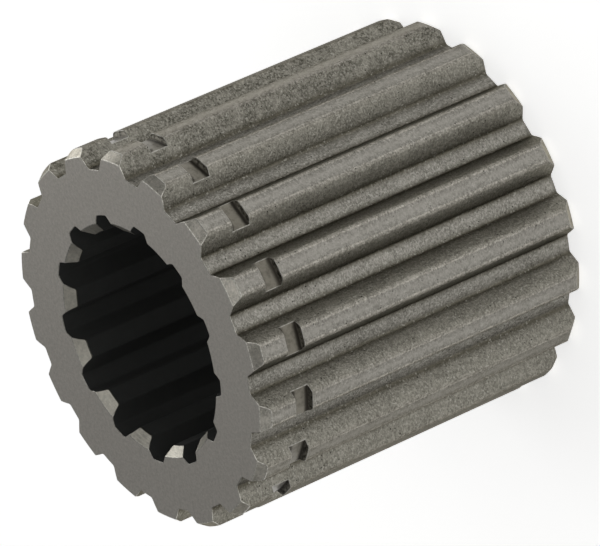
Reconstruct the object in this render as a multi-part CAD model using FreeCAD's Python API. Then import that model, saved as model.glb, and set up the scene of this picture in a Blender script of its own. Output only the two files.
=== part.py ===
import FreeCAD, Part
import math
import os

# Splined bushing: one steel piece with an involute spline outside and another in the bore.
# It is turned, hobbed outside and broached inside. It stands on its plain end, with its axis
# on +Z, the origin at the centre of that end, and the ring groove near the top end.
# One outer tooth and one bore space are centred on +X. Lengths are in mm, angles in degrees.

# Body
length = 35.25
pressure_angle = 30.0

# Outer spline: hobbed involute teeth, 35 mm nominal size
outer_teeth = 18
outer_module = 1.75
outer_profile_shift = 0.7875
outer_addendum = 0.7875
outer_dedendum = 0.9625
outer_tip_rounding = 0.4
outer_root_fillet = 0.35

# Chamfer on the tips of the outer teeth, at both ends
tip_chamfer_length = 0.8
tip_chamfer_depth = 0.63

# Groove for a retaining ring, turned through the teeth below the top end
groove_setback = 3.45
groove_width = 1.75
groove_depth = 0.63

# Bore spline: broached involute spaces of 16 diametral pitch, a little wider than nominal
bore_teeth = 13
bore_module = 1.5875
bore_space_widening = 0.23
bore_tooth_addendum = 0.47
bore_tooth_dedendum = 1.07
bore_space_fillet = 0.3
bore_tip_rounding = 0.25

# Lead-in chamfer on the teeth of the bore, at both ends
lead_in_length = 0.85
lead_in_depth = 0.85

# How far a cutting tool runs past the surface that it leaves
tool_overrun = 2.0

# Points that carry the curve of one tooth flank
flank_points = 6

# Sizes that follow from the ones above
angle = math.radians(pressure_angle)
outer_pitch_radius = outer_teeth * outer_module / 2
outer_tip_radius = outer_pitch_radius + outer_profile_shift + outer_addendum
outer_root_radius = outer_pitch_radius + outer_profile_shift - outer_dedendum
outer_tooth_width = math.pi * outer_module / 2 + 2 * outer_profile_shift * math.tan(angle)
bore_pitch_radius = bore_teeth * bore_module / 2
bore_major_radius = bore_pitch_radius + bore_tooth_dedendum
bore_minor_radius = bore_pitch_radius - bore_tooth_addendum
bore_space_width = math.pi * bore_module / 2 + bore_space_widening
groove_floor_radius = outer_tip_radius - groove_depth
groove_top = length - groove_setback
groove_bottom = groove_top - groove_width


def involute(pressure):
    """Involute function of a pressure angle in radians: how far a flank has leaned by then."""
    return math.tan(pressure) - pressure


def polar(radius, turn):
    """Point in the plane z = 0 at a radius and an angle in radians."""
    return FreeCAD.Vector(radius * math.cos(turn), radius * math.sin(turn), 0)


def mirrored(point):
    """The same point on the other side of the tooth's centre line, which is the X axis."""
    return FreeCAD.Vector(point.x, -point.y, point.z)


def arc(start, centre, end):
    """Short arc from start to end about a centre."""
    radius = (start - centre).Length
    towards_middle = (start - centre) + (end - centre)
    middle = centre + towards_middle.normalize() * radius
    return Part.Arc(start, middle, end).toShape()


class Flank:
    """Upper involute flank of a tooth centred on +X, as the end of a string unwound from its
    base circle. The string's length names a point on it, and the string is square to it."""

    def __init__(self, pitch_radius, tooth_width):
        self.base_radius = pitch_radius * math.cos(angle)
        self.start = tooth_width / (2 * pitch_radius) + involute(angle)

    def string_at(self, radius):
        """Length of the string that reaches a radius."""
        return math.sqrt(radius ** 2 - self.base_radius ** 2)

    def half_angle(self, radius):
        """Half of the tooth's angle at a radius."""
        return self.start - involute(math.acos(self.base_radius / radius))

    def foot_angle(self, string):
        """Angle of the point where the string leaves the base circle."""
        return self.start - string / self.base_radius

    def outward(self, string):
        """Unit vector square to the flank, out of the tooth."""
        return polar(1, self.foot_angle(string) + math.pi / 2)

    def along(self, string):
        """Unit vector along the flank, towards the tip."""
        return polar(1, self.foot_angle(string))

    def point(self, string):
        """Point of the flank at the end of the string."""
        return self.along(string) * self.base_radius + self.outward(string) * string

    def curve(self, inner, outer):
        """Edge along the flank between two string lengths, true to its direction at both ends."""
        step = (outer - inner) / (flank_points - 1)
        points = [self.point(inner + i * step) for i in range(flank_points)]
        spline = Part.BSplineCurve()
        spline.interpolate(Points=points, InitialTangent=self.along(inner), FinalTangent=self.along(outer))
        return spline.toShape()


def tooth_edges(teeth, flank, root_radius, tip_radius, root_fillet, tip_rounding):
    """Edges of one tooth centred on +X and of the root floor that follows it, in order."""
    half_pitch = math.pi / teeth
    root_half_width = root_radius * (half_pitch - flank.half_angle(root_radius))
    tip_half_width = tip_radius * flank.half_angle(tip_radius)
    fillet = min(root_fillet, root_half_width)
    rounding = min(tip_rounding, tip_half_width)

    # A circle that touches the flank has its centre on a parallel involute: the same curve,
    # turned by the circle's radius over the base radius.
    rounding_radius = tip_radius - rounding
    rounding_angle = flank.half_angle(rounding_radius) - rounding / flank.base_radius
    rounding_centre = polar(rounding_radius, rounding_angle)
    tip_string = flank.string_at(rounding_radius) + rounding
    fillet_radius = root_radius + fillet
    fillet_angle = flank.half_angle(fillet_radius) + fillet / flank.base_radius
    fillet_centre = polar(fillet_radius, fillet_angle)
    root_string = flank.string_at(fillet_radius) - fillet

    tip = polar(tip_radius, rounding_angle)
    flank_top = flank.point(tip_string)
    flank_foot = flank.point(root_string)
    root = polar(root_radius, fillet_angle)
    next_root = polar(root_radius, 2 * half_pitch - fillet_angle)

    upper_flank = flank.curve(root_string, tip_string)
    lower_flank = upper_flank.mirror(FreeCAD.Vector(0, 0, 0), FreeCAD.Vector(0, 1, 0))
    return [
        arc(mirrored(root), mirrored(fillet_centre), mirrored(flank_foot)),
        lower_flank,
        arc(mirrored(flank_top), mirrored(rounding_centre), mirrored(tip)),
        Part.Arc(mirrored(tip), polar(tip_radius, 0), tip).toShape(),
        arc(tip, rounding_centre, flank_top),
        upper_flank,
        arc(flank_foot, fillet_centre, root),
        Part.Arc(root, polar(root_radius, half_pitch), next_root).toShape(),
    ]


def toothed_prism(teeth, edges, bottom, height):
    """Solid with one tooth's edges repeated all round the axis."""
    outline = []
    for tooth in range(teeth):
        for edge in edges:
            turned = edge.copy()
            turned.rotate(FreeCAD.Vector(0, 0, 0), FreeCAD.Vector(0, 0, 1), tooth * 360 / teeth)
            outline.append(turned)
    face = Part.Face(Part.Wire(outline))
    face.translate(FreeCAD.Vector(0, 0, bottom))
    return face.extrude(FreeCAD.Vector(0, 0, height))


def revolved(points):
    """Solid turned about the axis from a closed outline of (radius, height) points."""
    corners = [FreeCAD.Vector(radius, 0, height) for radius, height in points]
    face = Part.Face(Part.makePolygon(corners + corners[:1]))
    return face.revolve(FreeCAD.Vector(0, 0, 0), FreeCAD.Vector(0, 0, 1), 360)


def hobbed_body():
    """The body with its outer teeth, over the whole length."""
    flank = Flank(outer_pitch_radius, outer_tooth_width)
    edges = tooth_edges(outer_teeth, flank, outer_root_radius, outer_tip_radius,
                        outer_root_fillet, outer_tip_rounding)
    return toothed_prism(outer_teeth, edges, 0, length)


def broach():
    """What the broach takes out of the bore: its teeth leave the spaces."""
    flank = Flank(bore_pitch_radius, bore_space_width)
    edges = tooth_edges(bore_teeth, flank, bore_minor_radius, bore_major_radius,
                        bore_tip_rounding, bore_space_fillet)
    return toothed_prism(bore_teeth, edges, -tool_overrun, length + 2 * tool_overrun)


def tip_chamfer_cutter(face_height, inward):
    """Ring outside the cone that chamfers the teeth at one end. Inward is +1 or -1 along Z."""
    slope = tip_chamfer_length / tip_chamfer_depth
    inner = outer_tip_radius - tip_chamfer_depth - tool_overrun
    outer = outer_tip_radius + tool_overrun
    inner_height = face_height - inward * tool_overrun * slope
    outer_height = face_height + inward * (tip_chamfer_length + tool_overrun * slope)
    return revolved([(inner, inner_height), (outer, inner_height), (outer, outer_height)])


def ring_groove_cutter():
    """Ring that leaves the groove for a retaining ring."""
    outer = outer_tip_radius + tool_overrun
    return revolved([
        (groove_floor_radius, groove_bottom),
        (outer, groove_bottom),
        (outer, groove_top),
        (groove_floor_radius, groove_top),
    ])


def lead_in_cutter(face_height, inward):
    """Cone that opens the bore's teeth at one end. Inward is +1 or -1 along Z."""
    slope = lead_in_length / lead_in_depth
    apex_height = face_height + inward * (bore_minor_radius + lead_in_depth) * slope
    mouth_height = face_height - inward * tool_overrun * slope
    mouth_radius = bore_minor_radius + lead_in_depth + tool_overrun
    return revolved([(0, apex_height), (0, mouth_height), (mouth_radius, mouth_height)])


def splined_bushing():
    """The whole piece: hobbed body, chamfered tips, ring groove, broached bore and lead-ins."""
    cutters = [
        tip_chamfer_cutter(0, 1),
        tip_chamfer_cutter(length, -1),
        ring_groove_cutter(),
        broach(),
        lead_in_cutter(0, 1),
        lead_in_cutter(length, -1),
    ]
    shape = hobbed_body()
    for cutter in cutters:
        shape = shape.cut(cutter)
    return shape.Solids[0]


os.makedirs("parts", exist_ok=True)
bushing = splined_bushing()
bushing.exportStep("parts/splined_bushing.step")
print("splined_bushing:", len(bushing.Faces), "faces,", round(bushing.Volume), "mm3, valid", bushing.isValid())
print("box:", bushing.BoundBox)
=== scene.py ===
import logging
import math
from dataclasses import dataclass, field
from enum import Enum

import bmesh
import bpy
import numpy as np
from mathutils import Matrix, Vector


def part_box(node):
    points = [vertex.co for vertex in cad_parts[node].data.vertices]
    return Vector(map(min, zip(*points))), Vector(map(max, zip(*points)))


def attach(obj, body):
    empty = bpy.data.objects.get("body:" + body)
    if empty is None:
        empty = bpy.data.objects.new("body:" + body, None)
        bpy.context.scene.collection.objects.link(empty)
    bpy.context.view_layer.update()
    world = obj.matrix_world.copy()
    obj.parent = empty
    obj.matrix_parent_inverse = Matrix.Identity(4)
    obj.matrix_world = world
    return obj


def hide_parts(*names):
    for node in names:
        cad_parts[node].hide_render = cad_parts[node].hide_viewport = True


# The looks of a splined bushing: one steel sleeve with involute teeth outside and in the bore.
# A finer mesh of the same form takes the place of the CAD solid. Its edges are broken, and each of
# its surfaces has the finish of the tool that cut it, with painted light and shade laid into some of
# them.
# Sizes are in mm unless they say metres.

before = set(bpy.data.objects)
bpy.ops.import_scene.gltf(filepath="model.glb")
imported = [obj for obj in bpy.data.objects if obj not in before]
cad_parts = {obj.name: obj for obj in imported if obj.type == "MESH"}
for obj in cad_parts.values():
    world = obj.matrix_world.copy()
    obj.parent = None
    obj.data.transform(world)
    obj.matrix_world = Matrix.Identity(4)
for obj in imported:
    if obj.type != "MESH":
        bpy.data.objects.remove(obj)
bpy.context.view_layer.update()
METRES = 0.001
NODE = "splined_bushing"
WHITE = "#ffffff"

# Attribute of the mesh: how far a point of the outer teeth lies from the middle of its tip
WALKED = "walked"

# Output of a node, which carries a colour, a share or a length
Socket = bpy.types.NodeSocket

log = logging.getLogger(NODE)


class Zone(Enum):
    """Surfaces of the bushing by the tool that cut them, each the index of its material."""

    TEETH = 0
    END = 1
    CHAMFER = 2
    GROOVE = 3
    BORE = 4
    LEAD_IN = 5
    EDGE = 6


def linear(code: str) -> tuple[float, float, float, float]:
    """Turn an sRGB hex colour into the linear colour that a shader takes.

    It follows the sRGB standard: a straight line in the darkest part and a power above it.

    Args:
        code: Six hex digits after a hash sign.

    Returns:
        Linear red, green and blue, and an alpha of one.
    """
    parts = np.array([int(code[i:i + 2], 16) for i in (1, 3, 5)]) / 255
    light = np.where(parts <= 0.04045, parts / 12.92, ((parts + 0.055) / 1.055) ** 2.4)
    return (*light.tolist(), 1.0)


def add_node(tree: bpy.types.NodeTree, kind: str, values: dict[str | int, object] | None = None,
             links: dict[str | int, Socket] | None = None, **settings: object) -> bpy.types.Node:
    """Add one shader node with its settings, its sockets' values and its incoming links.

    Args:
        tree: The material's node tree.
        kind: Blender's name for the kind of node.
        values: Socket name or number to the value set on it.
        links: Socket name or number to the output that feeds it.
        **settings: The node's own properties.

    Returns:
        The new node.
    """
    made = tree.nodes.new(kind)
    for name, value in settings.items():
        setattr(made, name, value)
    for socket, value in (values or {}).items():
        made.inputs[socket].default_value = value
    for socket, source in (links or {}).items():
        tree.links.new(source, made.inputs[socket])
    return made


def shares(steps: int) -> np.ndarray:
    """Even shares of a way, from the end of its first step to the whole."""
    return np.linspace(0, 1, steps + 1)[1:]


def between(first: np.ndarray | float, last: np.ndarray | float,
            share: float) -> np.ndarray | float:
    """What lies at a share of the way from the first to the last."""
    return (1 - share) * first + share * last


def arc(centre: np.ndarray, radius: float, first: float, last: float, steps: int) -> np.ndarray:
    """Points at even angles on a circle: the centre plus the radius times cosine and sine.

    Args:
        centre: X and Y of the circle's centre.
        radius: Its radius.
        first: Angle of the first point.
        last: Angle of the last point.
        steps: Number of chords.

    Returns:
        Points, one more than the steps.
    """
    turns = np.linspace(first, last, steps + 1)
    return centre + radius * np.stack([np.cos(turns), np.sin(turns)], 1)


@dataclass(frozen=True)
class Steps:
    """Numbers of chords along half a tooth, from the middle of its tip to the middle of a root."""

    tip: int
    rounding: int
    upper_flank: int
    lower_flank: int
    fillet: int
    root: int


@dataclass(frozen=True)
class InvoluteForm:
    """Section of a spline: teeth with involute flanks, rounded tips and filleted roots.

    A flank is the path of a string's end while the string unwinds from the base circle, so the
    string's length names a point on it. A tooth's width is its arc on the pitch circle. The
    bore's spaces have the form of the broach's teeth.
    """

    teeth: int
    module: float
    tooth_width: float
    root_radius: float
    tip_radius: float
    root_fillet: float
    tip_rounding: float
    steps: Steps
    pressure_angle: float = math.radians(30)

    @property
    def pitch(self) -> float:
        """Angle from one tooth to the next."""
        return 2 * math.pi / self.teeth

    @property
    def base_radius(self) -> float:
        """Radius of the circle that the string unwinds from."""
        return self.teeth * self.module / 2 * math.cos(self.pressure_angle)

    @property
    def start(self) -> float:
        """Half of the tooth's angle at the base circle: its half width plus the flank's lean."""
        lean = math.tan(self.pressure_angle) - self.pressure_angle
        return self.tooth_width / (self.teeth * self.module) + lean

    def string_at(self, radius: float) -> float:
        """Length of the string that reaches a radius."""
        return math.sqrt(radius ** 2 - self.base_radius ** 2)

    def foot(self, string: np.ndarray | float) -> np.ndarray | float:
        """Angle at which a string of this length leaves the base circle."""
        return self.start - string / self.base_radius

    def flank(self, first: float, last: float, steps: int) -> np.ndarray:
        """Points of the upper flank: base radius outward, then the string's length square to it.

        Args:
            first: Length of the first point's string.
            last: Length of the last point's string.
            steps: Number of chords.

        Returns:
            Points, one more than the steps.
        """
        string = np.linspace(first, last, steps + 1)
        foot = self.foot(string)
        along = np.stack([np.cos(foot), np.sin(foot)], 1)
        square = np.stack([-np.sin(foot), np.cos(foot)], 1)
        return self.base_radius * along + string[:, None] * square

    def touching_centre(self, radius: float, offset: float) -> np.ndarray:
        """Centre of a circle that touches the flank.

        It lies on the same involute, turned by the offset over the base radius.

        Args:
            radius: Distance of the centre from the axis.
            offset: Distance from the flank, below zero inside the tooth.

        Returns:
            X and Y of the centre.
        """
        lean = self.string_at(radius) / self.base_radius - math.acos(self.base_radius / radius)
        turn = self.start - lean + offset / self.base_radius
        return radius * np.array([math.cos(turn), math.sin(turn)])

    def half_tooth(self, mark: float) -> np.ndarray:
        """Outline from the middle of a tip to the middle of the next root.

        It runs along the tip circle, the tip's rounding, the flank above and below the mark, the
        root's fillet and the root circle.

        Args:
            mark: Radius at which the flank has to carry a point.

        Returns:
            Radius and angle of each point.
        """
        inner = self.touching_centre(self.tip_radius - self.tip_rounding, -self.tip_rounding)
        outer = self.touching_centre(self.root_radius + self.root_fillet, self.root_fillet)
        top = self.string_at(math.hypot(*inner)) + self.tip_rounding
        bottom = self.string_at(math.hypot(*outer)) - self.root_fillet
        marked = self.string_at(mark)
        tip_angle = math.atan2(inner[1], inner[0])
        root_angle = math.atan2(outer[1], outer[0])
        quarter = math.pi / 2
        axis = np.zeros(2)
        stretches = [
            arc(axis, self.tip_radius, 0, tip_angle, self.steps.tip),
            arc(inner, self.tip_rounding, tip_angle, self.foot(top) + quarter, self.steps.rounding),
            self.flank(top, marked, self.steps.upper_flank),
            self.flank(marked, bottom, self.steps.lower_flank),
            arc(outer, self.root_fillet, self.foot(bottom) - quarter, root_angle - math.pi,
                self.steps.fillet),
            arc(axis, self.root_radius, root_angle, self.pitch / 2, self.steps.root),
        ]
        points = np.concatenate([part[:-1] for part in stretches] + [stretches[-1][-1:]])
        return np.stack([np.hypot(*points.T), np.arctan2(points[:, 1], points[:, 0])], 1)

    def outline(self, mark: float) -> np.ndarray:
        """The whole section, anticlockwise from the middle of the tooth on +X.

        Half a tooth and its mirror image are turned by every multiple of the pitch.

        Args:
            mark: Radius at which each flank has to carry a point.

        Returns:
            Radius and angle of each point.
        """
        half = self.half_tooth(mark)
        back = half[-2:0:-1] * [1, -1] + [0, self.pitch]
        tooth = np.concatenate([half, back])
        every = np.tile(tooth, (self.teeth, 1))
        every[:, 1] += np.repeat(np.arange(self.teeth) * self.pitch, len(tooth))
        return every

    def walk(self, mark: float) -> np.ndarray:
        """Distance of each point of the outline from the middle of the nearest tip.

        It is measured along the outline, as the sum of the chords.

        Args:
            mark: Radius at which each flank has to carry a point.

        Returns:
            Distance of each point.
        """
        radius, angle = self.half_tooth(mark).T
        chords = np.hypot(np.diff(radius * np.cos(angle)), np.diff(radius * np.sin(angle)))
        run = np.concatenate([[0], np.cumsum(chords)])
        return np.tile(np.concatenate([run, run[-2:0:-1]]), self.teeth)


@dataclass
class Sleeve:
    """The bushing's one closed surface: rings of points that run down the outer teeth, in across
    the bottom face, up the bore and out across the top face to where they began.

    All rings have the same number of points, so each joins the next with four-sided cells. That
    number is 468: 18 times 26 round the outer teeth and 13 times 36 round the bore.
    """

    tip_chamfer_depth: float = 0.63
    tip_chamfer_length: float = 0.8
    groove_setback: float = 3.45
    groove_width: float = 1.75
    groove_depth: float = 0.63
    lead_in_depth: float = 0.85
    lead_in_length: float = 0.85
    face_margin: float = 0.375
    edge_break: float = 0.06
    edge_segments: int = 2
    sharp_angle: float = math.radians(30)
    merge_distance: float = 0.001
    chamfer_steps: int = 3
    collar_steps: int = 4
    groove_steps: int = 3
    land_steps: int = 36
    bore_steps: int = 24
    face_steps: int = 3
    outer: InvoluteForm = InvoluteForm(
        teeth=18, module=1.75, tooth_width=3.658, root_radius=15.575, tip_radius=17.325,
        root_fillet=0.35, tip_rounding=0.4,
        steps=Steps(tip=2, rounding=3, upper_flank=1, lower_flank=2, fillet=3, root=2))
    bore: InvoluteForm = InvoluteForm(
        teeth=13, module=1.5875, tooth_width=2.724, root_radius=9.849, tip_radius=11.389,
        root_fillet=0.25, tip_rounding=0.3,
        steps=Steps(tip=2, rounding=3, upper_flank=3, lower_flank=3, fillet=4, root=3))
    rings: list[np.ndarray] = field(default_factory=list)
    zones: list[np.ndarray] = field(default_factory=list)

    @property
    def length(self) -> float:
        """Length of the bushing, as the frame has it."""
        low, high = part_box(NODE)
        return (high.z - low.z) / METRES

    @property
    def face_radius(self) -> float:
        """Radius where the tip chamfer meets an end face."""
        return self.outer.tip_radius - self.tip_chamfer_depth

    @property
    def mouth_radius(self) -> float:
        """Radius where the bore's lead-in meets an end face."""
        return self.bore.root_radius + self.lead_in_depth

    @property
    def floor_radius(self) -> float:
        """Radius of the ring groove's floor."""
        return self.outer.tip_radius - self.groove_depth

    @property
    def groove_top(self) -> float:
        """Height of the ring groove's upper wall."""
        return self.length - self.groove_setback

    @property
    def groove_bottom(self) -> float:
        """Height of the ring groove's lower wall."""
        return self.groove_top - self.groove_width

    def add_ring(self, radius: np.ndarray, angle: np.ndarray, height: np.ndarray | float,
                 zone: Zone | np.ndarray) -> None:
        """Add one ring of points, and name the surface between the ring before it and this one.

        Args:
            radius: Radius of each point.
            angle: Angle of each point.
            height: Height of each point, or of them all.
            zone: The surface, or the zone's value for each cell.
        """
        height = np.broadcast_to(height, radius.shape)
        self.rings.append(np.stack([radius * np.cos(angle), radius * np.sin(angle), height], 1))
        value = zone.value if isinstance(zone, Zone) else zone
        self.zones.append(np.broadcast_to(value, radius.shape))

    def add_outside(self) -> None:
        """Rings down the outer teeth: chamfer, collar, ring groove, long land and chamfer.

        A point above the chamfer's circle starts on it and follows the cone out to its own
        radius, and one above the groove's floor goes down to the floor and up again.
        """
        length, groove_top, groove_bottom = self.length, self.groove_top, self.groove_bottom
        radius, angle = self.outer.outline(self.face_radius).T
        face = np.minimum(radius, self.face_radius)
        floor = np.minimum(radius, self.floor_radius)
        drop = (radius - face) * self.tip_chamfer_length / self.tip_chamfer_depth
        raised = np.maximum(radius, np.roll(radius, -1)) > self.floor_radius + self.merge_distance
        groove = np.where(raised, Zone.GROOVE.value, Zone.TEETH.value)
        self.add_ring(face, angle, length, Zone.END)
        for share in shares(self.chamfer_steps):
            self.add_ring(between(face, radius, share), angle, length - share * drop, Zone.CHAMFER)
        for share in shares(self.collar_steps):
            self.add_ring(radius, angle, between(length - drop, groove_top, share), Zone.TEETH)
        for height in np.linspace(groove_top, groove_bottom, self.groove_steps + 1):
            self.add_ring(floor, angle, height, groove)
        self.add_ring(radius, angle, groove_bottom, groove)
        for share in shares(self.land_steps):
            self.add_ring(radius, angle, between(groove_bottom, drop, share), Zone.TEETH)
        for share in 1 - shares(self.chamfer_steps):
            self.add_ring(between(face, radius, share), angle, share * drop, Zone.CHAMFER)

    def add_inside(self) -> None:
        """Rings up the bore: lead-in, broached spaces and lead-in.

        A point inside the mouth's circle starts on it and follows the cone in to its own radius.
        """
        length = self.length
        radius, angle = self.bore.outline(self.mouth_radius).T
        mouth = np.maximum(radius, self.mouth_radius)
        drop = (mouth - radius) * self.lead_in_length / self.lead_in_depth
        self.add_ring(mouth, angle, 0.0, Zone.END)
        for share in shares(self.chamfer_steps):
            self.add_ring(between(mouth, radius, share), angle, share * drop, Zone.LEAD_IN)
        for share in shares(self.bore_steps):
            self.add_ring(radius, angle, between(drop, length - drop, share), Zone.BORE)
        for share in 1 - shares(self.chamfer_steps):
            self.add_ring(between(mouth, radius, share), angle, length - share * drop, Zone.LEAD_IN)

    def add_end(self, height: float, outward: bool) -> None:
        """Rings across an end face, whose points move evenly from one spline's to the other's.

        The first and the last keep a margin from the roots of the teeth and of the spaces.

        Args:
            height: Height of the face.
            outward: Whether the rings run from the bore out to the outer teeth.
        """
        outer = self.outer.outline(self.face_radius)[:, 1]
        bore = self.bore.outline(self.mouth_radius)[:, 1]
        outermost = self.outer.root_radius - self.face_margin
        innermost = self.bore.tip_radius + self.face_margin
        inward = np.linspace(0, 1, self.face_steps + 1)
        for share in inward[::-1] if outward else inward:
            radius = np.full(outer.shape, between(outermost, innermost, share))
            self.add_ring(radius, between(outer, bore, share), height, Zone.END)

    def joined_rings(self) -> bpy.types.Mesh:
        """Join each ring to the next, and the last to the first, and merge points that meet.

        Returns:
            The closed mesh.
        """
        count, width = len(self.rings), len(self.rings[0])
        grid = np.arange(count * width).reshape(count, width)
        below = np.roll(grid, -1, 0)
        corners = np.stack([grid, below, np.roll(below, -1, 1), np.roll(grid, -1, 1)], 2)
        mesh = bpy.data.meshes.new("sleeve")
        points = np.concatenate(self.rings) * METRES
        mesh.from_pydata(points.tolist(), [], corners.reshape(-1, 4).tolist())
        zones = np.roll(np.array(self.zones), -1, 0).astype(np.int32)
        mesh.polygons.foreach_set("material_index", zones.ravel())
        mesh.polygons.foreach_set("use_smooth", np.ones(count * width, bool))
        walked = mesh.attributes.new(WALKED, "FLOAT", "POINT")
        walked.data.foreach_set("value", np.tile(self.outer.walk(self.face_radius), count))
        merged = bmesh.new()
        merged.from_mesh(mesh)
        bmesh.ops.remove_doubles(merged, verts=merged.verts, dist=self.merge_distance * METRES)
        merged.to_mesh(mesh)
        merged.free()
        return mesh

    def weigh_edges(self, mesh: bpy.types.Mesh) -> None:
        """Give full bevel weight to the sharp outside edges.

        An edge is sharp where its two faces' normals differ by more than the sharp angle, and it
        is an outside edge where the second face's centre lies below the first one's plane. The
        corners of all faces, put in the order of their edges, name the two faces of each edge.

        Args:
            mesh: The closed mesh, in which each edge has two faces.
        """
        normals = np.empty(len(mesh.polygons) * 3)
        centres = np.empty(len(mesh.polygons) * 3)
        sides = np.empty(len(mesh.polygons), int)
        edges = np.empty(len(mesh.loops), int)
        mesh.polygons.foreach_get("normal", normals)
        mesh.polygons.foreach_get("center", centres)
        mesh.polygons.foreach_get("loop_total", sides)
        mesh.loops.foreach_get("edge_index", edges)
        faces = np.repeat(np.arange(len(sides)), sides)[np.argsort(edges, kind="stable")]
        first, second = faces.reshape(-1, 2).T
        normals = normals.reshape(-1, 3)
        centres = centres.reshape(-1, 3)
        bend = np.einsum("ij,ij->i", normals[first], normals[second])
        rise = np.einsum("ij,ij->i", normals[first], centres[second] - centres[first])
        sharp = (bend < math.cos(self.sharp_angle)) & (rise < 0)
        weights = mesh.attributes.new("bevel_weight_edge", "FLOAT", "EDGE")
        weights.data.foreach_set("value", sharp.astype(np.float32))

    def build(self) -> bpy.types.Object:
        """Lay the rings, join them into a mesh and break its sharp edges.

        Returns:
            The sleeve's object, with the zone of each face as its material index.
        """
        self.add_outside()
        self.add_end(0.0, outward=False)
        self.add_inside()
        self.add_end(self.length, outward=True)
        mesh = self.joined_rings()
        self.weigh_edges(mesh)
        sleeve = bpy.data.objects.new("sleeve", mesh)
        bpy.context.scene.collection.objects.link(sleeve)
        bevel = sleeve.modifiers.new("edge_break", "BEVEL")
        bevel.width = self.edge_break * METRES
        bevel.segments = self.edge_segments
        bevel.limit_method = "WEIGHT"
        bevel.use_clamp_overlap = False
        bevel.harden_normals = True
        bevel.material = Zone.EDGE.value
        return sleeve

    def dress(self, sleeve: bpy.types.Object) -> None:
        """Give the sleeve's object the finish of each zone, in the order of the zones.

        Args:
            sleeve: The object.
        """
        finishes = {
            Zone.TEETH: PhosphatedTeeth().make(),
            Zone.END: FacedSteel().make(),
            Zone.CHAMFER: PhosphatedChamfer().make(),
            Zone.GROOVE: GroovedSteel().make(self),
            Zone.BORE: BoreShadeSteel().make(),
            Zone.LEAD_IN: LeadInSteel().make(),
            Zone.EDGE: HighlitBurnishedEdge().make(self),
        }
        for zone in Zone:
            sleeve.data.materials.append(finishes[zone])


@dataclass(frozen=True)
class Band:
    """A share that rises smoothly from 0 to its top while a value goes from low to high.

    Where low is the greater of the two, the share falls as the value grows.
    """

    low: float
    high: float
    top: float = 1.0


@dataclass(frozen=True)
class Clouds:
    """A pattern of soft blots of a size, made from noise between 0 and 1.

    The contrast is the band of noise that it shows, the detail is the number of finer layers,
    and the squeeze is how many times shorter the blots are along the bushing's axis.
    """

    size: float
    contrast: Band = Band(0.3, 0.7)
    detail: float = 2.0
    squeeze: float = 1.0


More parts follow.
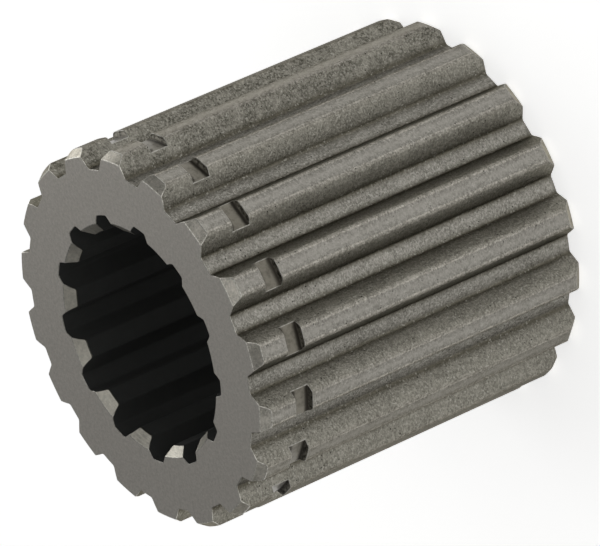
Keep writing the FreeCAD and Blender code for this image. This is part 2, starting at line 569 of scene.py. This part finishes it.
class Surface:
    """One material while it is made: its tree, its shader and the place of a point in mm."""

    # How strongly the finer layers of the noise show, from 0 to 1
    crumble: float = 0.7

    def __init__(self, name: str, metallic: float) -> None:
        """Start the material.

        Args:
            name: Its name.
            metallic: How far the shader is a metal.
        """
        self.material = bpy.data.materials.new(name)
        self.material.use_nodes = True
        self.tree = self.material.node_tree
        self.shader = self.tree.nodes["Principled BSDF"]
        self.shader.inputs["Metallic"].default_value = metallic
        place = add_node(self.tree, "ShaderNodeTexCoord").outputs["Object"]
        scaled = add_node(self.tree, "ShaderNodeVectorMath", {"Scale": 1 / METRES}, {0: place},
                          operation="SCALE")
        self.place = scaled.outputs["Vector"]
        apart = add_node(self.tree, "ShaderNodeSeparateXYZ", links={"Vector": self.place})
        self.height = apart.outputs["Z"]
        walked = add_node(self.tree, "ShaderNodeAttribute", attribute_name=WALKED)
        self.walked = walked.outputs["Fac"]

    def towards(self, turn: float) -> Socket:
        """How far a point lies out from the axis towards the side at an angle from +X."""
        side = (math.cos(turn), math.sin(turn), 0)
        return add_node(self.tree, "ShaderNodeVectorMath", {1: side}, {0: self.place},
                        operation="DOT_PRODUCT").outputs["Value"]

    def from_axis(self) -> Socket:
        """Distance of a point from the bushing's axis."""
        flat = add_node(self.tree, "ShaderNodeVectorMath", {1: (1, 1, 0)}, {0: self.place},
                        operation="MULTIPLY").outputs["Vector"]
        return add_node(self.tree, "ShaderNodeVectorMath", links={0: flat},
                        operation="LENGTH").outputs["Value"]

    def share(self, *parts: Socket | tuple[Socket, Band]) -> Socket:
        """How much a point has of something that several shares limit, each times the next.

        Args:
            *parts: Shares, or pairs of a value and the band that makes it a share.

        Returns:
            The product of the shares.
        """
        found: list[Socket] = []
        for part in parts:
            if isinstance(part, tuple):
                value, band = part
                ends = {"From Min": band.low, "From Max": band.high, "To Max": band.top}
                part = add_node(self.tree, "ShaderNodeMapRange", ends, {"Value": value},
                                interpolation_type="SMOOTHSTEP").outputs["Result"]
            found.append(part)
        whole = found[0]
        for part in found[1:]:
            whole = add_node(self.tree, "ShaderNodeMath", links={0: whole, 1: part},
                             operation="MULTIPLY").outputs["Value"]
        return whole

    def clouds(self, kind: Clouds) -> Socket:
        """A pattern of soft blots, fixed to the bushing.

        Args:
            kind: Size and look of the blots.

        Returns:
            The pattern.
        """
        scale = (1 / kind.size, 1 / kind.size, kind.squeeze / kind.size)
        moved = add_node(self.tree, "ShaderNodeMapping", {"Scale": scale}, {"Vector": self.place})
        noise = add_node(self.tree, "ShaderNodeTexNoise",
                         {"Scale": 1.0, "Detail": kind.detail, "Roughness": self.crumble},
                         {"Vector": moved.outputs["Vector"]})
        return self.share((noise.outputs["Fac"], kind.contrast))

    def pits(self, spacing: float, size: float) -> Socket:
        """Round spots strewn at random, each round the centre of a cell.

        Args:
            spacing: Mean distance between spots.
            size: Diameter of a spot.

        Returns:
            The pattern: 1 in a spot and 0 between them.
        """
        cells = add_node(self.tree, "ShaderNodeTexVoronoi", {"Scale": 1 / spacing},
                         {"Vector": self.place})
        edge = size / 2 / spacing
        return self.share((cells.outputs["Distance"], Band(edge, edge / 2)))

    def crystals(self, size: float) -> Socket:
        """Cells that fill the surface, each with a random shade from 0 to 1.

        Args:
            size: Mean width of a cell.

        Returns:
            The pattern.
        """
        cells = add_node(self.tree, "ShaderNodeTexVoronoi", {"Scale": 1 / size},
                         {"Vector": self.place})
        return add_node(self.tree, "ShaderNodeSeparateColor",
                        links={"Color": cells.outputs["Color"]}).outputs["Red"]

    def along_tooth(self, stops: tuple[tuple[float, str], ...]) -> Socket:
        """Colour that changes along the outline of a tooth.

        Args:
            stops: Distance from the middle of the tip and colour, in order of distance.

        Returns:
            The colour.
        """
        last = stops[-1][0]
        share = add_node(self.tree, "ShaderNodeMapRange", {"From Max": last},
                         {"Value": self.walked})
        ramp = add_node(self.tree, "ShaderNodeValToRGB", links={"Fac": share.outputs["Result"]})
        elements = ramp.color_ramp.elements
        for distance, _ in stops[1:-1]:
            elements.new(distance / last)
        for element, (distance, code) in zip(elements, stops):
            element.position = distance / last
            element.color = linear(code)
        return ramp.outputs["Color"]

    def painted(self, ground: Socket | str, *coats: tuple[Socket | str, Socket]) -> Socket:
        """Lay coats of colour over a ground, one after the other.

        Args:
            ground: The lowest colour, as a hex code or a pattern.
            *coats: The colour of each coat and the share of it that shows.

        Returns:
            The colour.
        """
        for coat, share in coats:
            ends = {"A": ground, "B": coat}
            fixed = {key: linear(end) for key, end in ends.items() if isinstance(end, str)}
            linked = {key: end for key, end in ends.items() if not isinstance(end, str)}
            ground = add_node(self.tree, "ShaderNodeMix", fixed, {"Factor": share, **linked},
                              data_type="RGBA").outputs["Result"]
        return ground

    def finish(self, colour: Socket, roughness: float, relief: Socket,
               depth: float) -> bpy.types.Material:
        """Give the shader its colour, roughness and relief.

        Args:
            colour: The colour's pattern.
            roughness: The shader's roughness.
            relief: Height pattern from 0 to 1.
            depth: Height of the relief.

        Returns:
            The finished material.
        """
        bump = add_node(self.tree, "ShaderNodeBump", {"Strength": 1.0, "Distance": depth * METRES},
                        {"Height": relief})
        self.shader.inputs["Roughness"].default_value = roughness
        self.tree.links.new(colour, self.shader.inputs["Base Color"])
        self.tree.links.new(bump.outputs["Normal"], self.shader.inputs["Normal"])
        return self.material


@dataclass(frozen=True)
class PhosphateCrust:
    """Thin coat of phosphate on bare steel.

    It is a crust of small crystals, which gives the eye a matt grain with pale glints and dark
    pits. Handling has rubbed it smoother in patches and most of all on the lands, and the flanks
    on one side of the bushing have dark old stains. The dark edge tint keeps it as matt as
    crystals are when seen at a low angle.
    """

    dark: str = "#45433a"
    glint: str = "#c0beb5"
    stain: str = "#34322a"
    pit: str = "#24221d"
    edge_tint: str = "#8c8a83"
    roughness: float = 0.36
    relief: float = 0.026

    # Real crystals are some hundredths of a mm wide, which is too fine to show, so both the
    # crystals and the grain that they lie in are drawn as coarse as they need to show
    crystal: float = 0.14
    grain: Clouds = Clouds(0.22, detail=3.0, squeeze=1.8)
    hollow: Band = Band(0.75, 0.15, top=0.42)
    shaded: Band = Band(0.6, 0.0, top=0.45)
    glinting: Band = Band(0.88, 1.0, top=0.4)

    # What is left of the crust: three quarters of it in a rubbed patch, a third on a land
    rubbed: Clouds = Clouds(2.5, detail=3.0)
    left_in_patch: Band = Band(3.0, 0.0)
    left_on_land: Band = Band(-0.6, 0.9)
    mottle: Clouds = Clouds(0.5, Band(0.4, 0.7, top=0.18))

    # Stains lie out towards one side, on the flanks alone, as specks that gather in patches
    stained_side: float = math.radians(195)
    stain_from: float = 13.8
    stain_full: float = 15.4
    stain_share: float = 0.75
    stained_flank: Band = Band(0.3, 0.95)
    stain_specks: Clouds = Clouds(0.22, Band(0.42, 0.62), detail=3.0)
    stain_patches: Clouds = Clouds(1.6, Band(0.38, 0.6), detail=3.0)
    pit_spacing: float = 0.8
    pit_size: float = 0.18

    def stains(self, surface: Surface) -> Socket:
        """How much old stain a point has.

        Args:
            surface: The material that is being made.

        Returns:
            The share of stain.
        """
        stained_reach = Band(self.stain_from, self.stain_full, top=self.stain_share)
        return surface.share((surface.towards(self.stained_side), stained_reach),
                             (surface.walked, self.stained_flank),
                             surface.clouds(self.stain_specks),
                             surface.clouds(self.stain_patches))

    def coat(self, surface: Surface, tone: Socket) -> bpy.types.Material:
        """Lay the crust over a tone and finish the material.

        Args:
            surface: The material that is being made.
            tone: Its colour before the crust.

        Returns:
            The finished material.
        """
        surface.shader.inputs["Specular Tint"].default_value = linear(self.edge_tint)
        left = surface.share((surface.clouds(self.rubbed), self.left_in_patch),
                             (surface.walked, self.left_on_land))
        grain = surface.clouds(self.grain)
        crystals = surface.crystals(self.crystal)
        colour = surface.painted(
            tone,
            (self.dark, surface.share((grain, self.hollow), left)),
            (self.dark, surface.share((crystals, self.shaded), left)),
            (self.dark, surface.clouds(self.mottle)),
            (self.glint, surface.share((crystals, self.glinting), left)),
            (self.stain, self.stains(surface)),
            (self.pit, surface.share(surface.pits(self.pit_spacing, self.pit_size), left)),
        )
        return surface.finish(colour, self.roughness, surface.share(grain, left), self.relief)


@dataclass(frozen=True)
class PhosphatedTeeth:
    """Hobbed steel under phosphate.

    It gives the eye a warm grey, greyer on the lands and root floors. The edges of the lands are
    paler with rubbed wear and a painted highlight, the tips' roundings a little paler with a painted
    highlight, and the fillets dark with painted shade. The land that lies farthest out towards one
    side is pale over its whole width with painted light.
    """

    name: str = "phosphated_hobbed_steel"
    land: str = "#9b9891"
    # The roundings' paler tone is a painted highlight
    rounding: str = "#a19d93"
    flank: str = "#9c998f"
    # The fillets' dark tone is painted shade, where the teeth shade each other
    fillet: str = "#6a665b"
    root: str = "#a9a69e"
    # The rim's pale beads are rubbed wear and a painted highlight
    rim: str = "#bbb6ac"
    # Painted light: the land farthest out towards one side is paler over its whole width
    lit_land_tone: str = "#b4b0a8"

    # Distances along the outline from the middle of a tip, between which the tones pass over
    land_end: float = 0.66
    rounding_end: float = 0.92
    flank_start: float = 1.15
    flank_end: float = 2.3
    fillet_start: float = 2.78
    fillet_end: float = 2.92
    root_start: float = 3.45
    root_middle: float = 3.74

    # The rim is a broken line of beads along each edge of a land: rubbed wear and a painted
    # highlight
    rim_start: Band = Band(0.55, 0.64)
    rim_end: Band = Band(0.82, 0.7)
    beads: Clouds = Clouds(0.3, Band(0.3, 0.56))
    # Where the painted light lies: its side, how far out it reaches, and how much of the outline
    lit_land_side: float = math.radians(180)
    lit_land_reach: Band = Band(16.6, 17.1)
    lit_land_width: Band = Band(1.0, 0.7)
    crust: PhosphateCrust = PhosphateCrust()

    def make(self) -> bpy.types.Material:
        """Build the material.

        Returns:
            The material.
        """
        surface = Surface(self.name, metallic=1.0)
        # Painted shade darkens the fillets, and a painted highlight lightens the roundings
        tone = surface.along_tooth((
            (self.land_end, self.land),
            (self.rounding_end, self.rounding),
            (self.flank_start, self.flank),
            (self.flank_end, self.flank),
            (self.fillet_start, self.fillet),
            (self.fillet_end, self.fillet),
            (self.root_start, self.root),
            (self.root_middle, self.root),
        ))
        # Beads of rubbed wear and painted highlight along the edges of the lands
        rim = surface.share((surface.walked, self.rim_start), (surface.walked, self.rim_end),
                            surface.clouds(self.beads))
        # Painted light on the land that lies farthest out towards one side
        lit_land = surface.share((surface.towards(self.lit_land_side), self.lit_land_reach),
                                 (surface.walked, self.lit_land_width))
        tone = surface.painted(tone, (self.rim, rim), (self.lit_land_tone, lit_land))
        return self.crust.coat(surface, tone)


@dataclass(frozen=True)
class PhosphatedChamfer:
    """Turned chamfer under phosphate: paler than the teeth, and with no stains.

    Its relief is low, so the chamfers catch the light as smooth facets beside the grainy lands.
    """

    name: str = "phosphated_turned_steel"
    light: str = "#d5d0c5"
    dark: str = "#c8c4b8"
    patches: Clouds = Clouds(0.9, Band(0.35, 0.65))
    crust: PhosphateCrust = PhosphateCrust(relief=0.01, roughness=0.33, dark="#7c7a72",
                                           pit_size=0.12, stain_share=0.0)

    def make(self) -> bpy.types.Material:
        """Build the material.

        Returns:
            The material.
        """
        surface = Surface(self.name, metallic=1.0)
        tone = surface.painted(self.dark, (self.light, surface.clouds(self.patches)))
        return self.crust.coat(surface, tone)


@dataclass(frozen=True, kw_only=True)
class BareSteel:
    """Cut steel without a coat.

    It is a metal under a film of old oil, which gives the eye a soft grey shine. The tool's feed,
    about 0.12 mm a turn, leaves marks that hardly show.
    """

    name: str
    metallic: float = 0.85
    roughness: float = 0.42
    relief: float = 0.004
    marks: Clouds = Clouds(0.12)

    def finished(self, surface: Surface, colour: Socket) -> bpy.types.Material:
        """Finish a material of this steel with the marks of its tool."""
        return surface.finish(colour, self.roughness, surface.clouds(self.marks), self.relief)


@dataclass(frozen=True, kw_only=True)
class MottledSteel(BareSteel):
    """Bare steel in two tones that are close to each other."""

    light: str
    dark: str
    mottle: Clouds

    def make(self) -> bpy.types.Material:
        """Build the material.

        Returns:
            The material.
        """
        surface = Surface(self.name, self.metallic)
        colour = surface.painted(self.dark, (self.light, surface.clouds(self.mottle)))
        return self.finished(surface, colour)


@dataclass(frozen=True, kw_only=True)
class FacedSteel(MottledSteel):
    """Steel faced on the lathe: it gives the eye a flat, even grey with a faint fine mottle."""

    name: str = "faced_steel"
    light: str = "#dad5cd"
    dark: str = "#c7c3ba"
    mottle: Clouds = Clouds(0.28, detail=4.0)
    relief: float = 0.007


@dataclass(frozen=True, kw_only=True)
class LeadInSteel(MottledSteel):
    """Steel turned to a cone: it glints along marks 0.15 mm wide and ten times as long."""

    name: str = "turned_bare_steel"
    light: str = "#c6c2b6"
    dark: str = "#aeaba1"
    mottle: Clouds = Clouds(0.4, detail=4.0)
    metallic: float = 1.0
    relief: float = 0.016
    marks: Clouds = Clouds(1.5, squeeze=10.0)


@dataclass(frozen=True, kw_only=True)
class BoreShadeSteel(MottledSteel):
    """Broached steel coloured matt and nearly black: painted shade, so the bore looks deep.

    The shader isn't a metal.
    """

    name: str = "shaded_broached_steel"
    # Painted shade: both tones of the bore are nearly black
    light: str = "#323331"
    dark: str = "#2e2f2d"
    mottle: Clouds = Clouds(1.2, detail=4.0)
    metallic: float = 0.0
    roughness: float = 0.75


@dataclass(frozen=True, kw_only=True)
class GroovedSteel(BareSteel):
    """The floor and walls that the grooving tool leaves.

    They give the eye a smooth brownish grey, with painted shade that darkens the floor towards both
    walls and the lower wall, and dark smudges of old oil strewn at random. The lower wall is torn by
    chatter, and gets paler towards its rim with a burr and a painted highlight.
    """

    name: str = "grooved_steel"
    floor: str = "#767268"
    wall: str = "#5e5a50"
    # The pale rim is a burr and a painted highlight
    burr: str = "#c2beb0"
    # Painted shade near the walls and on the lower wall, and old oil in the random smudges
    shade_and_oil: str = "#3d3932"
    corner_shade_width: float = 0.1
    corner_shade_fade: float = 0.6
    shade_width: float = 0.1
    wall_depth: float = 0.03
    chatter: Clouds = Clouds(0.4, Band(0.3, 0.66))
    smudges: Clouds = Clouds(0.5, Band(0.4, 0.75, top=0.45))
    roughness: float = 0.35

    def make(self, sleeve: Sleeve) -> bpy.types.Material:
        """Build the material.

        Args:
            sleeve: The sleeve, for the place of its groove.

        Returns:
            The material.
        """
        surface = Surface(self.name, self.metallic)
        bottom, top = sleeve.groove_bottom, sleeve.groove_top
        # Painted shade: the floor darkens towards both walls, and the lower wall is dark up to a
        # paler rim
        lower = Band(bottom + self.corner_shade_width, bottom + self.corner_shade_fade)
        upper = Band(top, top - self.shade_width)
        walled = Band(bottom + self.wall_depth, bottom)
        risen = Band(sleeve.floor_radius, sleeve.outer.tip_radius)
        burred = surface.painted(self.wall, (self.burr, surface.share((surface.from_axis(), risen))))
        torn = surface.painted(self.shade_and_oil, (burred, surface.clouds(self.chatter)))
        colour = surface.painted(
            self.shade_and_oil,
            (self.floor, surface.share((surface.height, lower), (surface.height, upper))),
            (torn, surface.share((surface.height, walled))),
            (self.shade_and_oil, surface.clouds(self.smudges)),
        )
        return self.finished(surface, colour)


@dataclass(frozen=True, kw_only=True)
class HighlitBurnishedEdge(BareSteel):
    """Edges that the wire brush broke and handling burnished.

    They give the eye thin pale lines with darker nicks; their near-white tone is burnish and a
    painted highlight. They are brightest round the near end, and painted shade makes them duller at
    the roots of the teeth, at the groove and at the far end, and nearly black inside the bore.
    """

    name: str = "burnished_highlit_edge_steel"
    # The near-white tone is burnish and a painted highlight; the darkest tone is painted shade
    burnish_and_highlight: str = "#fffcf2"
    nick: str = "#aca99f"
    painted_edge_shade: str = "#33312b"
    nicks: Clouds = Clouds(0.25, detail=4.0)
    end_fade: float = 1.2
    end_share: float = 0.6
    root_fade: float = 0.8
    root_edge: float = 0.15
    root_share: float = 0.4
    bore_share: float = 0.75
    roughness: float = 0.3

    def make(self, sleeve: Sleeve) -> bpy.types.Material:
        """Build the material.

        Args:
            sleeve: The sleeve, for the places of its edges.

        Returns:
            The material.
        """
        surface = Surface(self.name, self.metallic)
        radius = surface.from_axis()
        length, mouth, root = sleeve.length, sleeve.mouth_radius, sleeve.outer.root_radius
        cone_middle = (mouth + sleeve.bore.root_radius) / 2
        # Painted shade: darker coats towards the far end, near the roots of the teeth and inside the
        # bore
        away = Band(length, length - self.end_fade, top=self.end_share)
        deep = Band(root + self.root_fade, root + self.root_edge, top=self.root_share)
        inside = Band(mouth, cone_middle, top=self.bore_share)
        colour = surface.painted(
            self.nick,
            (self.burnish_and_highlight, surface.clouds(self.nicks)),
            (self.painted_edge_shade, surface.share((surface.height, away))),
            (self.painted_edge_shade, surface.share((radius, deep))),
            (self.painted_edge_shade, surface.share((radius, inside))),
        )
        return self.finished(surface, colour)


@dataclass(frozen=True)
class LitSheet:
    """Opal acrylic, cast with a matt face and lit from below.

    It gives the eye a pale, even ground without a horizon, and throws soft light on the flanks.
    """

    name: str = "cast_opal_acrylic"
    colour: str = "#f4f4f2"
    roughness: float = 0.8
    glow: float = 0.655

    def make(self) -> bpy.types.Material:
        """Build the material.

        Returns:
            The material.
        """
        sheet = bpy.data.materials.new(self.name)
        sheet.use_nodes = True
        shader = sheet.node_tree.nodes["Principled BSDF"]
        shader.inputs["Base Color"].default_value = linear(self.colour)
        shader.inputs["Roughness"].default_value = self.roughness
        shader.inputs["Emission Color"].default_value = linear(WHITE)
        shader.inputs["Emission Strength"].default_value = self.glow
        return sheet


@dataclass(frozen=True)
class SoftLight:
    """A square lamp that shines on the bushing from a direction of the picture.

    Its direction is told by how far it lies to the right, up and towards the camera. Its size
    and its distance from the bushing are in metres, and its power is in watts.
    """

    name: str
    right: float
    up: float
    towards: float
    size: float
    power: float
    distance: float = 1.0


@dataclass
class Studio:
    """Pale ground, soft lights and the camera of the photograph.

    The camera looks at the aim from a distance, both in mm, and its angles are in degrees. Half
    the floor's width and the nearest distance that the camera shows are in metres.
    """

    aim: tuple[float, float, float] = (0.207, 0.073, 17.677)
    distance: float = 653.19
    azimuth: float = 117.308
    elevation: float = 31.453
    roll: float = -113.695
    lens: float = 451.95
    nearest: float = 0.01
    half_floor: float = 3.0
    sky: float = 0.154
    lights: tuple[SoftLight, ...] = (
        SoftLight("over", -0.781, -0.343, 0.522, 0.4, 0.174, 0.4),
        SoftLight("close_over", -0.741, 0.174, 0.649, 0.15, 0.032, 0.2),
        SoftLight("close_left", -0.952, 0.199, -0.234, 0.15, 0.0144, 0.2),
        SoftLight("close_behind", -0.884, 0.097, -0.26, 0.1, 0.0275, 0.2),
        SoftLight("left_behind", -0.7, 0.5, -0.5, 0.4, 1.29),
        SoftLight("front", 0.0, 0.0, 1.0, 0.5, 0.66),
        SoftLight("front_right", 0.5, 0.0, 0.87, 0.5, 0.86),
        SoftLight("below", 0.1, -0.95, 0.3, 0.7, 0.51),
    )

    def axes(self) -> Matrix:
        """Directions of the camera, rolled about its line of sight.

        Returns:
            Its right, up and backward directions as columns.
        """
        turn, lift, roll = (math.radians(a) for a in (self.azimuth, self.elevation, self.roll))
        across = math.cos(lift)
        back = Vector((across * math.cos(turn), across * math.sin(turn), math.sin(lift)))
        level = Vector((0, 0, 1)).cross(back).normalized()
        upright = back.cross(level)
        right = level * math.cos(roll) + upright * math.sin(roll)
        up = upright * math.cos(roll) - level * math.sin(roll)
        return Matrix((right, up, back)).transposed()

    def add_camera(self) -> None:
        """Put the camera where the photograph was taken from."""
        data = bpy.data.cameras.new("camera")
        data.lens = self.lens
        data.clip_start = self.nearest
        camera = bpy.data.objects.new("camera", data)
        bpy.context.scene.collection.objects.link(camera)
        axes = self.axes()
        place = (Vector(self.aim) + axes.col[2] * self.distance) * METRES
        camera.matrix_world = Matrix.Translation(place) @ axes.to_4x4()
        bpy.context.scene.camera = camera

    def add_light(self, light: SoftLight) -> None:
        """Hang one lamp, turned to the bushing and unseen by the camera itself.

        Args:
            light: The lamp.
        """
        way = (self.axes() @ Vector((light.right, light.up, light.towards))).normalized()
        data = bpy.data.lights.new(light.name, "AREA")
        data.size = light.size
        data.energy = light.power
        lamp = bpy.data.objects.new(light.name, data)
        bpy.context.scene.collection.objects.link(lamp)
        lamp.location = Vector(self.aim) * METRES + way * light.distance
        lamp.rotation_euler = way.to_track_quat("Z", "Y").to_euler()
        lamp.visible_camera = False

    def add_floor(self) -> None:
        """Lay a wide lit sheet under the bushing."""
        half = self.half_floor
        mesh = bpy.data.meshes.new("floor")
        corners = [(-half, -half, 0), (half, -half, 0), (half, half, 0), (-half, half, 0)]
        mesh.from_pydata(corners, [], [(0, 1, 2, 3)])
        mesh.materials.append(LitSheet().make())
        floor = bpy.data.objects.new("floor", mesh)
        bpy.context.scene.collection.objects.link(floor)

    def add_sky(self) -> None:
        """Fill the room with weak white light from all round."""
        room = bpy.data.worlds.new("room")
        room.use_nodes = True
        background = room.node_tree.nodes["Background"]
        background.inputs["Color"].default_value = linear(WHITE)
        background.inputs["Strength"].default_value = self.sky
        bpy.context.scene.world = room

    def build(self) -> None:
        """Lay the floor, light the room and place the camera."""
        self.add_floor()
        self.add_sky()
        for light in self.lights:
            self.add_light(light)
        self.add_camera()
        bpy.context.scene.view_settings.view_transform = "Standard"


def main() -> None:
    """Build the studio and the bushing in it."""
    logging.basicConfig(level=logging.INFO, format="%(message)s")
    studio = Studio()
    studio.build()
    log.info("studio: %d lamps", len(studio.lights))
    sleeve = Sleeve()
    body = sleeve.build()
    sleeve.dress(body)
    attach(body, "root")
    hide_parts(NODE)
    log.info("%s: %d faces", body.name, len(body.data.polygons))


if __name__ == "__main__":
    main()
